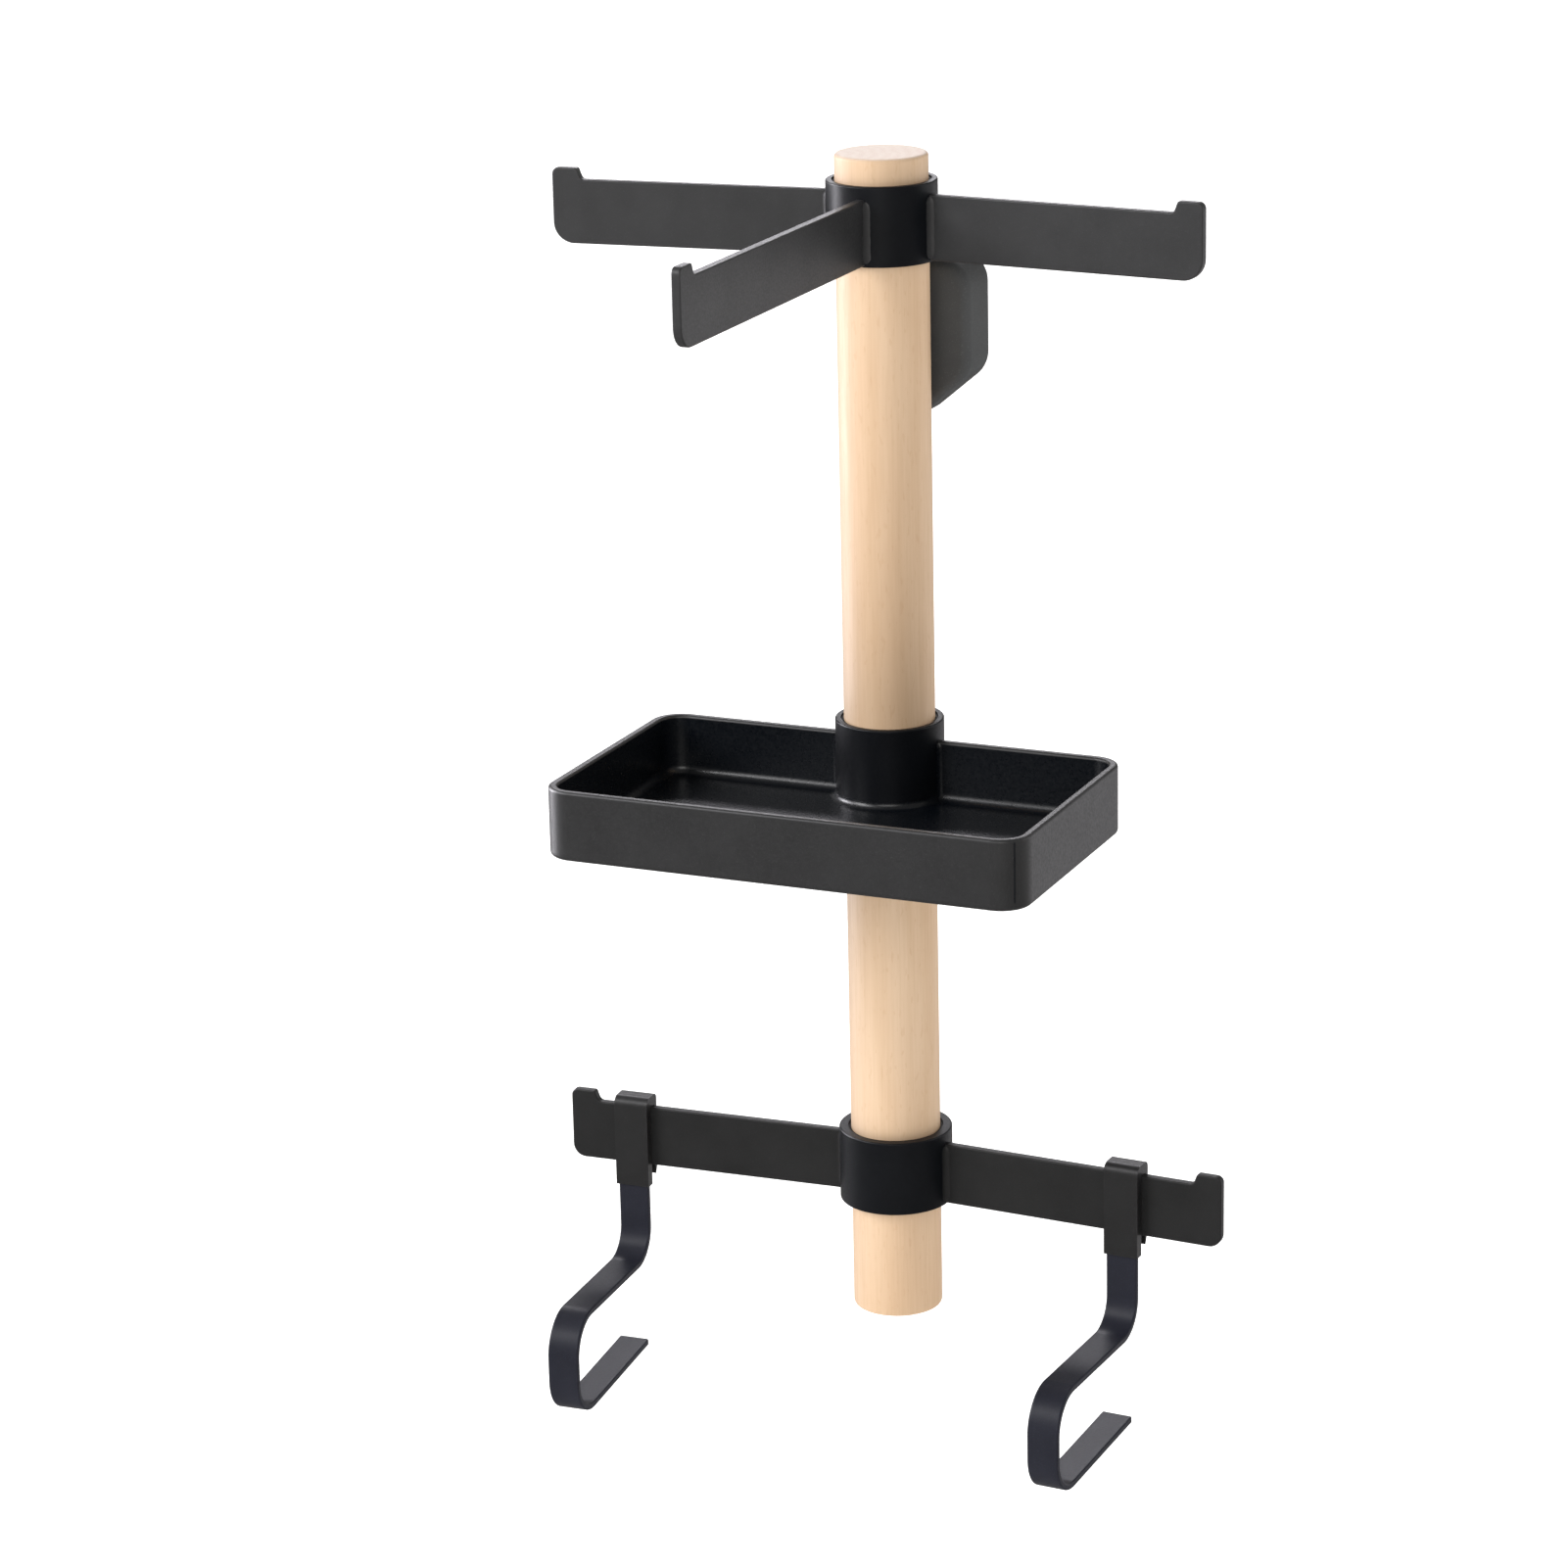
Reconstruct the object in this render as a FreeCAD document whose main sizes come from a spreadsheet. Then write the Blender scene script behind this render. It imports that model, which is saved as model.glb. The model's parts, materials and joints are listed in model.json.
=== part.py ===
import FreeCAD, Part
import math
import os
import Sketcher
from FreeCAD import Placement, Rotation, Vector

# Wall-held mug tree: a round wooden pole stands off a wall on one rounded bracket.
# Three collars with soft grip bushes slide and turn on the pole. The top collar carries three
# hook arms, the middle one a shallow tray, and the bottom one a two-armed bar with two hanging hooks.
# Frame: the origin is the middle of the bracket's wall face, +Z is up, the wall is the plane y = 0
# and everything hangs on the -Y side of it.

# name, value in millimetres (or degrees), what it is
SIZES = [
    ("pole_radius", 15.0, "round wooden pole"),
    ("pole_length", 393.0, "pole, end to end"),
    ("pole_top", 62.5, "top end of the pole above the bracket's centre"),
    ("pole_edge", 1.2, "rounded edge at both ends"),
    ("pole_stand_off", 36.0, "pole axis from the wall"),
    ("bracket_half_width", 23.0, "half the bracket's width"),
    ("bracket_top", 25.5, "bracket's flat top above its centre"),
    ("bracket_point", 30.5, "where the slanting lower sides would meet, below the centre"),
    ("bracket_slant", 0.835, "rise of the slanting lower sides per width"),
    ("bracket_corner", 9.0, "corner radius at the bracket's flat top"),
    ("bracket_shoulder", 10.6, "radius from upright side to slanting side"),
    ("bracket_tip", 10.0, "radius at the bracket's lowest point"),
    ("bracket_rim", 2.6, "rounding of the bracket's edge next to the wall"),
    ("bracket_front_round", 3.0, "rounding of the bracket's edge next to the pole"),
    ("bracket_wall", 2.5, "front wall of the bracket"),
    ("chamber_half_width", 19.0, "half the width of the space inside the bracket"),
    ("chamber_top", 21.0, "top of the space inside"),
    ("chamber_point", 24.9, "where the lower sides of the space would meet"),
    ("pad_thickness", 1.0, "non-slip pad against the wall"),
    ("cover_thickness", 3.0, "back cover that carries the magnets"),
    ("cover_gap", 0.2, "gap between back cover and bracket rim"),
    ("yoke_thickness", 1.2, "steel plate behind the magnets"),
    ("yoke_half_width", 11.5, "half the yoke's width and height"),
    ("magnet_width", 10.0, "block magnet"),
    ("magnet_height", 22.0, "block magnet"),
    ("magnet_offset", 6.5, "magnet centre from the middle"),
    ("cover_screw_side", 15.0, "upper cover screws from the middle"),
    ("cover_screw_top", 16.5, "upper cover screws above the centre"),
    ("cover_screw_low", 16.5, "lower cover screw below the centre"),
    ("cover_screw_radius", 1.25, "cover screw shank"),
    ("cover_screw_length", 9.0, "cover screw under the head"),
    ("cover_head_radius", 2.4, "cover screw head"),
    ("cover_head_depth", 1.4, "cover screw head"),
    ("boss_radius", 3.0, "screw post inside the bracket"),
    ("pole_screw_radius", 2.0, "wood screw shank"),
    ("pole_screw_length", 20.0, "wood screw under the head"),
    ("pole_screw_pitch", 15.0, "distance between the two wood screws"),
    ("pole_screw_head", 3.9, "wood screw head radius"),
    ("pole_head_depth", 2.6, "wood screw head"),
    ("bush_clearance", 0.06, "running clearance on each side of a grip bush"),
    ("bush_thickness", 0.88, "wall of a grip bush"),
    ("bush_recess", 0.6, "a grip bush ends this far inside its collar"),
    ("collar_height", 25.6, "top and bottom collars"),
    ("collar_edge", 0.5, "rounded edge of a collar"),
    ("top_collar_radius", 17.9, "outer radius of the top and tray collars"),
    ("bar_collar_radius", 19.0, "outer radius of the bar's collar"),
    ("top_collar_low", 28.6, "underside of the top collar"),
    ("bar_collar_low", -292.0, "underside of the bar's collar"),
    ("strip_height", 21.0, "flat strip of every arm"),
    ("strip_thickness", 3.0, "flat strip of every arm"),
    ("strip_edge", 0.5, "rounded long edge of every arm"),
    ("strip_lift", 0.6, "arm's lower edge above its collar's underside"),
    ("tip_height", 3.7, "upstand that keeps a mug on the arm"),
    ("tip_length", 8.6, "upstand, along the arm"),
    ("tip_slope", 1.4, "run of the upstand's inner slope"),
    ("tip_outer_round", 2.2, "upper outer corner of the upstand"),
    ("tip_inner_round", 0.9, "upper inner corner of the upstand"),
    ("tip_root_round", 1.8, "hollow corner at the foot of the upstand"),
    ("top_arm_corner", 7.0, "lower outer corner of the top arms"),
    ("bar_arm_corner", 4.5, "lower outer corner of the bar's arms"),
    ("side_arm_length", 111.8, "top side arm, pole axis to tip"),
    ("front_arm_length", 154.8, "top front arm, pole axis to tip"),
    ("bar_arm_length", 118.1, "bar arm, pole axis to tip"),
    ("top_arm_sweep", 5.0, "degrees that the top side arms are swept forward"),
    ("bar_arm_sweep", 3.0, "degrees that the bar's arms are swept forward"),
    ("tray_half_width", 82.1, "half the tray's width"),
    ("tray_back", 1.1, "tray's back face behind the pole axis"),
    ("tray_front", 94.4, "tray's front face before the pole axis"),
    ("tray_low", -153.1, "underside of the tray"),
    ("tray_height", 23.2, "tray, underside to rim"),
    ("tray_wall", 3.0, "tray wall and floor"),
    ("tray_corner", 10.0, "upright outer corners of the tray"),
    ("tray_floor_round", 3.0, "hollow between tray floor and walls"),
    ("tray_rim_round", 1.0, "rounded rim"),
    ("tray_foot_round", 1.6, "rounded lower edge"),
    ("tray_collar_height", 29.6, "collar through the tray"),
    ("clip_width", 12.0, "moulded clip on each hanging hook"),
    ("clip_slot", 1.75, "half the clip's slot, which straddles the bar"),
    ("clip_front", 5.2, "front face of the clip from the strip's middle"),
    ("clip_back", 3.75, "rear face of the clip from the strip's middle"),
    ("clip_top", 3.9, "top of the clip above the strip"),
    ("clip_rest", 0.1, "slot's roof above the strip"),
    ("clip_drop", 27.9, "front leg below the strip's top edge"),
    ("clip_rear_drop", 25.3, "rear leg's inner end"),
    ("clip_rear_cut", 20.8, "rear leg's outer end, where its slanted cut begins"),
    ("clip_front_round", 3.0, "front top edge of the clip"),
    ("clip_rear_round", 2.2, "rear top edge of the clip"),
    ("pocket_play", 0.05, "gap around the strap in its pocket"),
    ("pocket_depth", 12.0, "strap inside the clip"),
    ("strap_width", 10.8, "flat strap of the hanging hooks"),
    ("strap_thickness", 2.2, "flat strap of the hanging hooks"),
    ("strap_edge", 0.6, "rounded edge of the strap"),
    ("strap_setback", 3.475, "strap's middle before the strip's middle"),
    ("strap_start", 16.1, "strap's upper end below the strip's top edge"),
    ("strap_run_level", 53.5, "level run below the strip's top edge"),
    ("strap_reach", 68.6, "strap's foremost line before the strip's middle"),
    ("strap_depth", 87.0, "strap's lowest line below the strip's top edge"),
    ("strap_neck_bend", 11.0, "first bend, at the strap's middle line"),
    ("strap_nose_bend", 13.0, "bend at the front"),
    ("strap_cup_bend", 12.0, "bend into the tongue"),
    ("tongue_length", 48.0, "straight tongue that runs back"),
    ("tongue_rise", 3.0, "degrees that the tongue rises"),
    ("left_hook_place", 94.7, "left hook along its arm from the pole axis"),
    ("right_hook_place", 84.1, "right hook along its arm from the pole axis"),
]


class Size:
    """A number together with the sheet expression that it comes from."""

    def __init__(self, number, text):
        self.number = number
        self.text = text

    def joined(self, sign, other, number):
        return Size(number, "(%s %s %s)" % (self.text, sign, as_size(other).text))

    def __add__(self, other):
        return self.joined("+", other, self.number + as_size(other).number)

    def __sub__(self, other):
        return self.joined("-", other, self.number - as_size(other).number)

    def __mul__(self, other):
        return self.joined("*", other, self.number * as_size(other).number)

    def __truediv__(self, other):
        return self.joined("/", other, self.number / as_size(other).number)

    def __neg__(self):
        return as_size(0) - self


def as_size(value):
    return value if isinstance(value, Size) else Size(value, "%g" % value)


def fill_sheet(document):
    sheet = document.addObject("Spreadsheet::Sheet", "Sizes")
    for row, (alias, value, note) in enumerate(SIZES, start=1):
        sheet.set("A%d" % row, note)
        sheet.set("B%d" % row, "%g" % value)
        sheet.setAlias("B%d" % row, alias)
    document.recompute()
    return {alias: Size(value, "Sizes.%s" % alias) for alias, value, note in SIZES}


doc = FreeCAD.newDocument("MugTree")
size = fill_sheet(doc)
pieces = []


def bind(item, name, value):
    """Tie one property to the sheet."""
    item.setExpression(name, as_size(value).text)


def new_body(name):
    body = doc.addObject("PartDesign::Body", name)
    body.Label = name
    pieces.append(body)
    return body


def place(item, x=0, y=0, z=0, turn=0):
    """Put a sub-part where it belongs; its position and turn about Z stay tied to the sheet."""
    turn = as_size(turn)
    item.Placement = Placement(Vector(0, 0, 0), Rotation(Vector(0, 0, 1), turn.number))
    for axis, value in (("x", x), ("y", y), ("z", z)):
        bind(item, ".Placement.Base.%s" % axis, value)
    if turn.number != 0:
        bind(item, ".Placement.Rotation.Angle", turn)


def new_sketch(body, name, plane, offset=0):
    sketch = body.newObject("Sketcher::SketchObject", body.Name + "_" + name)
    support = [item for item in body.Origin.OriginFeatures if item.Role == plane][0]
    sketch.AttachmentSupport = [(support, "")]
    sketch.MapMode = "FlatFace"
    bind(sketch, ".AttachmentOffset.Base.z", offset)
    return sketch


def pin_point(sketch, element, vertex, point):
    """Hold one vertex at sheet-driven coordinates from the sketch's origin."""
    for kind, axis_line, value in (("DistanceX", -2, point[0]), ("DistanceY", -1, point[1])):
        value = as_size(value)
        if value.number == 0:
            sketch.addConstraint(Sketcher.Constraint("PointOnObject", element, vertex, axis_line))
            continue
        rule = Sketcher.Constraint(kind, -1, 1, element, vertex, value.number)
        index = sketch.addConstraint(rule)
        sketch.setExpression("Constraints[%d]" % index, value.text)


def pin_radius(sketch, element, radius):
    radius = as_size(radius)
    index = sketch.addConstraint(Sketcher.Constraint("Radius", element, radius.number))
    sketch.setExpression("Constraints[%d]" % index, radius.text)


def corner(point):
    return Vector(as_size(point[0]).number, as_size(point[1]).number, 0)


def draw_polygon(sketch, points):
    """A closed outline through the given corners."""
    count = len(points)
    first = sketch.GeometryCount
    for number, point in enumerate(points):
        following = points[(number + 1) % count]
        sketch.addGeometry(Part.LineSegment(corner(point), corner(following)))
    for number in range(count):
        following = (number + 1) % count
        rule = Sketcher.Constraint("Coincident", first + number, 2, first + following, 1)
        sketch.addConstraint(rule)
    for number, point in enumerate(points):
        pin_point(sketch, first + number, 1, point)


def draw_rectangle(sketch, low, high):
    draw_polygon(sketch, [low, (high[0], low[1]), high, (low[0], high[1])])


def draw_circle(sketch, radius, centre=(0, 0)):
    element = sketch.GeometryCount
    sketch.addGeometry(Part.Circle(corner(centre), Vector(0, 0, 1), as_size(radius).number))
    pin_point(sketch, element, 3, centre)
    pin_radius(sketch, element, radius)


def draw_shield(sketch, half_width, top, bottom):
    """Flat top, upright sides and two slanting lower sides that meet in the middle."""
    shoulder = -as_size(bottom) + as_size(half_width) * size["bracket_slant"]
    draw_polygon(sketch, [(half_width, top), (-as_size(half_width), top), (-as_size(half_width), shoulder),
                          (0, -as_size(bottom)), (half_width, shoulder)])


def extrude(body, kind, sketch, length=None, both_ways=False, backwards=False):
    """A Pad or a Pocket; a Pocket with no length goes right through both ways."""
    feature = body.newObject("PartDesign::" + kind, sketch.Name + "_" + kind.lower())
    feature.Profile = sketch
    feature.SideType = "Symmetric" if both_ways else "One side"
    feature.Reversed = backwards
    if length is None:
        feature.Type = "ThroughAll"
    else:
        feature.Length = as_size(length).number
        bind(feature, "Length", length)
    doc.recompute()
    return feature


def round_edges(body, name, radius, wanted):
    """Round every edge of the body's tip that the given test picks."""
    base = body.Tip
    names = ["Edge%d" % number for number, edge in enumerate(base.Shape.Edges, start=1) if wanted(edge)]
    assert names, "no edges for " + body.Name + " " + name
    feature = body.newObject("PartDesign::Fillet", body.Name + "_" + name)
    feature.Base = (base, names)
    feature.Radius = as_size(radius).number
    bind(feature, "Radius", radius)
    doc.recompute()
    return feature


def at(edge, **wanted):
    """True if every point of the edge has the given x, y or z."""
    box = edge.BoundBox
    limits = {"x": (box.XMin, box.XMax), "y": (box.YMin, box.YMax), "z": (box.ZMin, box.ZMax)}
    return all(abs(end - wanted[axis]) < 1e-4 for axis in wanted for end in limits[axis])


def runs_along(edge, direction):
    """True for a straight edge along the given direction."""
    ends = edge.Vertexes
    if len(ends) != 2 or edge.Curve.TypeId != "Part::GeomLine":
        return False
    span = ends[1].Point - ends[0].Point
    return span.Length > 1e-6 and span.cross(direction).Length < 1e-6 * span.Length


def touches(edge, x, z, margin=0.01):
    """True if the edge passes the point (x, z) seen along Y."""
    box = edge.BoundBox
    return abs(box.Center.x - x) < margin and abs(box.Center.z - z) < margin


def make_pole():
    body = new_body("pole")
    sketch = new_sketch(body, "section", "XY_Plane")
    draw_circle(sketch, size["pole_radius"])
    extrude(body, "Pad", sketch, size["pole_length"], backwards=True)
    round_edges(body, "ends", size["pole_edge"], lambda edge: edge.BoundBox.ZLength < 1e-6)
    past_axis = size["pole_screw_length"] - size["bracket_wall"] - size["pole_radius"] + 1
    holes = new_sketch(body, "pilot_holes", "XZ_Plane", past_axis)
    for side in (0.5, -0.5):
        draw_circle(holes, size["pole_screw_radius"], (0, size["pole_screw_pitch"] * side - size["pole_top"]))
    extrude(body, "Pocket", holes, size["pole_radius"] * 2)
    place(body, y=-size["pole_stand_off"], z=size["pole_top"])
    return body


def make_bracket_shell():
    body = new_body("bracket_shell")
    front = size["pole_stand_off"] - size["pole_radius"]
    outline = new_sketch(body, "outline", "XZ_Plane", size["pad_thickness"])
    draw_shield(outline, size["bracket_half_width"], size["bracket_top"], size["bracket_point"])
    extrude(body, "Pad", outline, front - size["pad_thickness"])
    depthwise = Vector(0, 1, 0)
    for name, radius, low, high in (("top_corners", size["bracket_corner"], 20, 30),
                                    ("shoulders", size["bracket_shoulder"], -20, 0),
                                    ("point", size["bracket_tip"], -40, -20)):
        round_edges(body, name, radius,
                    lambda edge: runs_along(edge, depthwise) and low < edge.BoundBox.Center.z < high)
    back = -size["pad_thickness"].number
    face = -front.number
    round_edges(body, "rim", size["bracket_rim"], lambda edge: at(edge, y=back))
    round_edges(body, "front_edge", size["bracket_front_round"], lambda edge: at(edge, y=face))
    deepest = front - size["bracket_wall"]
    chamber = new_sketch(body, "chamber", "XZ_Plane", size["pad_thickness"])
    draw_shield(chamber, size["chamber_half_width"], size["chamber_top"], size["chamber_point"])
    extrude(body, "Pocket", chamber, deepest - size["pad_thickness"], backwards=True)
    posts = new_sketch(body, "posts", "XZ_Plane", size["pad_thickness"] + size["cover_thickness"])
    for centre in cover_screw_places():
        draw_circle(posts, size["boss_radius"], centre)
    extrude(body, "Pad", posts, front - size["pad_thickness"] - size["cover_thickness"] - 1)
    pilots = new_sketch(body, "pilots", "XZ_Plane", size["pad_thickness"])
    for centre in cover_screw_places():
        draw_circle(pilots, size["cover_screw_radius"], centre)
    extrude(body, "Pocket", pilots, size["cover_screw_length"] + 2, backwards=True)
    holes = new_sketch(body, "pole_screw_holes", "XZ_Plane")
    for side in (0.5, -0.5):
        draw_circle(holes, size["pole_screw_radius"] + 0.2, (0, size["pole_screw_pitch"] * side))
    extrude(body, "Pocket", holes, size["pole_stand_off"], backwards=True)
    return body


def draw_cover_outline(sketch):
    gap = size["cover_gap"]
    draw_shield(sketch, size["chamber_half_width"] - gap, size["chamber_top"] - gap,
                size["chamber_point"] - gap * 1.3)


def cover_screw_places():
    side = size["cover_screw_side"]
    high = size["cover_screw_top"]
    return [(side, high), (-side, high), (0, -size["cover_screw_low"])]


def make_back_cover():
    body = new_body("bracket_back_cover")
    outline = new_sketch(body, "outline", "XZ_Plane", size["pad_thickness"])
    draw_cover_outline(outline)
    extrude(body, "Pad", outline, size["cover_thickness"])
    windows = new_sketch(body, "windows", "XZ_Plane")
    half_width = size["magnet_width"] / 2 + size["pocket_play"]
    half_height = size["magnet_height"] / 2 + size["pocket_play"]
    for side in (1, -1):
        centre = size["magnet_offset"] * side
        draw_rectangle(windows, (centre - half_width, -half_height), (centre + half_width, half_height))
    extrude(body, "Pocket", windows, size["pole_stand_off"], backwards=True)
    holes = new_sketch(body, "screw_holes", "XZ_Plane")
    for centre in cover_screw_places():
        draw_circle(holes, size["cover_screw_radius"] + size["pocket_play"], centre)
    extrude(body, "Pocket", holes, size["pole_stand_off"], backwards=True)
    sinks = new_sketch(body, "head_sinks", "XZ_Plane")
    for centre in cover_screw_places():
        draw_circle(sinks, size["cover_head_radius"] + size["pocket_play"], centre)
    extrude(body, "Pocket", sinks, size["pad_thickness"] + size["cover_head_depth"], backwards=True)
    return body


def make_plate(name, low, high, front_gap, thickness):
    """A flat block; its face next to the wall is front_gap from the wall plane."""
    body = new_body(name)
    outline = new_sketch(body, "outline", "XZ_Plane", front_gap)
    draw_rectangle(outline, low, high)
    extrude(body, "Pad", outline, thickness)
    return body


def make_magnets():
    half_width = size["magnet_width"] / 2
    half_height = size["magnet_height"] / 2
    for name, side in (("magnet_left", -1), ("magnet_right", 1)):
        centre = size["magnet_offset"] * side
        low = (centre - half_width, -half_height)
        high = (centre + half_width, half_height)
        make_plate(name, low, high, size["pad_thickness"], size["cover_thickness"])
    reach = size["yoke_half_width"]
    behind = size["pad_thickness"] + size["cover_thickness"]
    make_plate("magnet_yoke", (-reach, -reach), (reach, reach), behind, size["yoke_thickness"])


def make_wall_pad():
    body = new_body("wall_pad")
    outline = new_sketch(body, "outline", "XZ_Plane")
    draw_cover_outline(outline)
    extrude(body, "Pad", outline, size["pad_thickness"])


def make_screws(name, centres, seat, head_radius, head_depth, shank_radius, length):
    """Screws side by side, heads towards the wall; seat is the heads' underside from the wall."""
    heads = []
    for number, centre in enumerate(centres):
        stem = "%s_%d" % (name, number)
        head = doc.addObject("Part::Cylinder", stem + "_head")
        shank = doc.addObject("Part::Cylinder", stem + "_shank")
        for item, radius, start, depth in ((head, head_radius, seat - head_depth, head_depth),
                                           (shank, shank_radius, seat, length)):
            item.Placement = Placement(Vector(0, 0, 0), Rotation(Vector(1, 0, 0), 90))
            bind(item, "Radius", radius)
            bind(item, "Height", depth)
            bind(item, ".Placement.Base.x", centre[0])
            bind(item, ".Placement.Base.y", -as_size(start))
            bind(item, ".Placement.Base.z", centre[1])
        whole = doc.addObject("Part::Fuse", stem)
        whole.Base = head
        whole.Tool = shank
        heads.append(whole)
    group = doc.addObject("Part::Compound", name)
    group.Links = heads
    group.Label = name
    pieces.append(group)
    return group


def make_ring(name, outer, inner, height, low, edge=None):
    body = new_body(name)
    sketch = new_sketch(body, "section", "XY_Plane")
    draw_circle(sketch, outer)
    draw_circle(sketch, inner)
    extrude(body, "Pad", sketch, height)
    if edge is not None:
        reach = outer.number
        round_edges(body, "edges", edge,
                    lambda item: item.BoundBox.ZLength < 1e-6 and item.BoundBox.XMax > reach - 0.01)
    place(body, y=-size["pole_stand_off"], z=low)
    return body


def make_collar_pair(name, outer, height, low):
    """A collar and the soft bush that grips the pole inside it."""
    bush_inner = size["pole_radius"] + size["bush_clearance"]
    bush_outer = bush_inner + size["bush_thickness"]
    bush_height = height - size["bush_recess"] * 2
    make_ring(name + "_grip_bush", bush_outer, bush_inner, bush_height, low + size["bush_recess"])
    collar_inner = bush_outer + size["bush_clearance"]
    make_ring(name + "_collar", outer, collar_inner, height, low, size["collar_edge"])


def make_arm(name, length, low_corner, collar_radius, low, turn):
    """A flat strip on edge with an upstand at its tip, cut to sit on its collar."""
    body = new_body(name)
    strip = size["strip_height"]
    crest = strip + size["tip_height"]
    tip_start = length - size["tip_length"]
    slope_start = tip_start - size["tip_slope"]
    outline = new_sketch(body, "outline", "XZ_Plane")
    draw_polygon(outline, [(0, 0), (length, 0), (length, crest), (tip_start, crest),
                           (slope_start, strip), (0, strip)])
    extrude(body, "Pad", outline, size["strip_thickness"], both_ways=True)
    corners = (("low_corner", length, 0, low_corner),
               ("outer_corner", length, crest, size["tip_outer_round"]),
               ("inner_corner", tip_start, crest, size["tip_inner_round"]),
               ("root_corner", slope_start, strip, size["tip_root_round"]))
    for label, x, z, radius in corners:
        x_place = as_size(x).number
        z_place = as_size(z).number
        round_edges(body, label, radius, lambda edge: touches(edge, x_place, z_place))
    half = size["strip_thickness"].number / 2
    round_edges(body, "long_edges", size["strip_edge"],
                lambda edge: (at(edge, y=half) or at(edge, y=-half)) and edge.BoundBox.XMax > 0.01)
    seat = new_sketch(body, "collar_seat", "XY_Plane")
    draw_circle(seat, collar_radius)
    extrude(body, "Pocket", seat, crest * 2 + 2, both_ways=True)
    place(body, y=-size["pole_stand_off"], z=low, turn=turn)
    return body


def make_top_hooks():
    low = size["top_collar_low"]
    radius = size["top_collar_radius"]
    make_collar_pair("top", radius, size["collar_height"], low)
    sweep = size["top_arm_sweep"]
    arms = (("top_arm_left", size["side_arm_length"], sweep + 180),
            ("top_arm_right", size["side_arm_length"], -sweep),
            ("top_arm_front", size["front_arm_length"], -90))
    for name, length, turn in arms:
        make_arm(name, length, size["top_arm_corner"], radius, low + size["strip_lift"], turn)


def make_tray():
    low = size["tray_low"]
    radius = size["top_collar_radius"]
    make_collar_pair("tray", radius, size["tray_collar_height"], low)
    body = new_body("tray_pan")
    side = size["tray_half_width"]
    back = size["tray_back"]
    front = size["tray_front"]
    wall = size["tray_wall"]
    outline = new_sketch(body, "outline", "XY_Plane")
    draw_rectangle(outline, (-side, -front), (side, back))
    extrude(body, "Pad", outline, size["tray_height"])
    upright = Vector(0, 0, 1)
    round_edges(body, "corners", size["tray_corner"], lambda edge: runs_along(edge, upright))
    inside = new_sketch(body, "inside", "XY_Plane", size["tray_height"])
    draw_rectangle(inside, (-side + wall, -front + wall), (side - wall, back - wall))
    extrude(body, "Pocket", inside, size["tray_height"] - wall)
    inner_side = (side - wall).number
    round_edges(body, "inner_corners", size["tray_corner"] - wall,
                lambda edge: runs_along(edge, upright) and abs(abs(edge.BoundBox.XMax) - inner_side) < 0.01)
    floor = wall.number
    round_edges(body, "floor_hollow", size["tray_floor_round"], lambda edge: at(edge, z=floor))
    top = size["tray_height"].number
    round_edges(body, "rim", size["tray_rim_round"], lambda edge: at(edge, z=top))
    round_edges(body, "foot", size["tray_foot_round"], lambda edge: at(edge, z=0))
    passage = new_sketch(body, "collar_passage", "XY_Plane")
    draw_circle(passage, radius)
    extrude(body, "Pocket", passage, size["tray_height"] * 2 + 2, both_ways=True)
    place(body, y=-size["pole_stand_off"], z=low)


def make_bar():
    low = size["bar_collar_low"]
    radius = size["bar_collar_radius"]
    make_collar_pair("bar", radius, size["collar_height"], low)
    sweep = size["bar_arm_sweep"]
    for name, turn in (("bar_arm_left", sweep + 180), ("bar_arm_right", -sweep)):
        make_arm(name, size["bar_arm_length"], size["bar_arm_corner"], radius, low + size["strip_lift"], turn)


def make_clip(name, x, y, z, turn):
    """An upside-down U that straddles the bar's strip, with a pocket for the strap in its front leg."""
    body = new_body(name)
    slot = size["clip_slot"]
    face = size["clip_front"]
    rear = size["clip_back"]
    crest = size["clip_top"]
    outline = new_sketch(body, "outline", "YZ_Plane")
    draw_polygon(outline, [(-face, -size["clip_drop"]), (-slot, -size["clip_drop"]),
                           (-slot, size["clip_rest"]), (slot, size["clip_rest"]),
                           (slot, -size["clip_rear_drop"]), (rear, -size["clip_rear_cut"]),
                           (rear, crest), (-face, crest)])
    extrude(body, "Pad", outline, size["clip_width"], both_ways=True)
    crest_level = crest.number
    for label, place_y, radius in (("front_edge", -face.number, size["clip_front_round"]),
                                   ("rear_edge", rear.number, size["clip_rear_round"])):
        round_edges(body, label, radius, lambda edge: at(edge, y=place_y, z=crest_level))
    pocket = new_sketch(body, "strap_pocket", "XY_Plane", -size["clip_drop"])
    half_width = size["strap_width"] / 2 + size["pocket_play"]
    half_thick = size["strap_thickness"] / 2 + size["pocket_play"]
    middle = -size["strap_setback"]
    draw_rectangle(pocket, (-half_width, middle - half_thick), (half_width, middle + half_thick))
    extrude(body, "Pocket", pocket, size["pocket_depth"], backwards=True)
    place(body, x, y, z, turn)


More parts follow.
